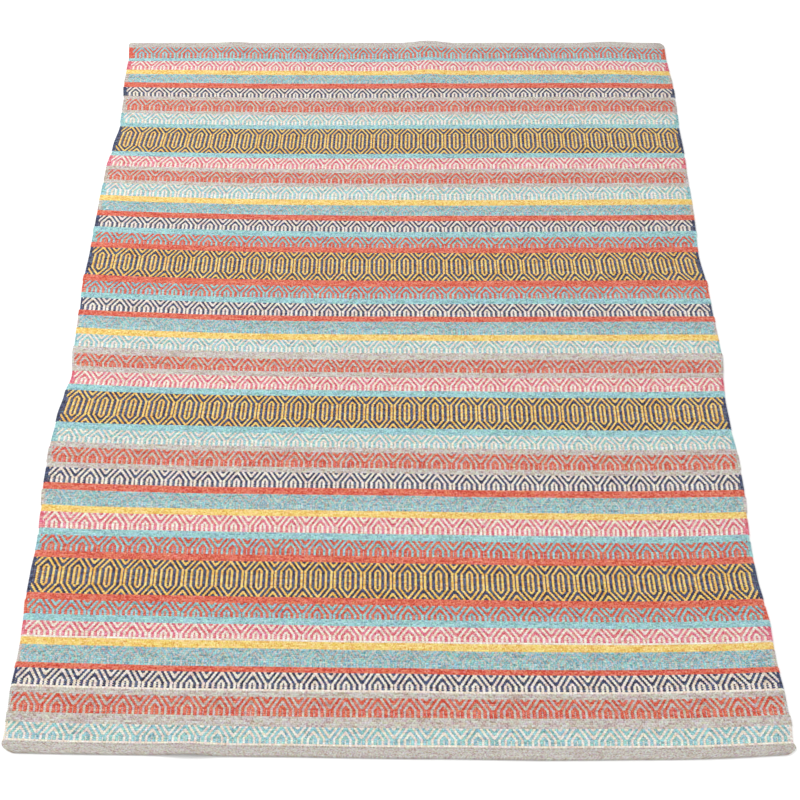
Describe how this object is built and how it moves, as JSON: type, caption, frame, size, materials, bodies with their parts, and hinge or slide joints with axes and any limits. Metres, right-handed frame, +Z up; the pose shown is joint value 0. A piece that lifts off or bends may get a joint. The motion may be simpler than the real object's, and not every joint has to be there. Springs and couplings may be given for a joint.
{
  "type": "flatweave wool rug",
  "caption": "Rectangular flatweave wool rug with striped and patterned bands and a plain hem turned under at each end, lying flat.",
  "frame": {"origin": "centre of the rug's bounding box, on the floor that it lies on", "axes": "+X across the rug, +Y along it towards the far hem, +Z up"},
  "size_m": [1.214, 1.821, 0.0097],
  "materials": {
    "wool": "matte woven wool"
  },
  "bodies": {
    "root": {"rug": "wool"}
  },
  "joints": []
}
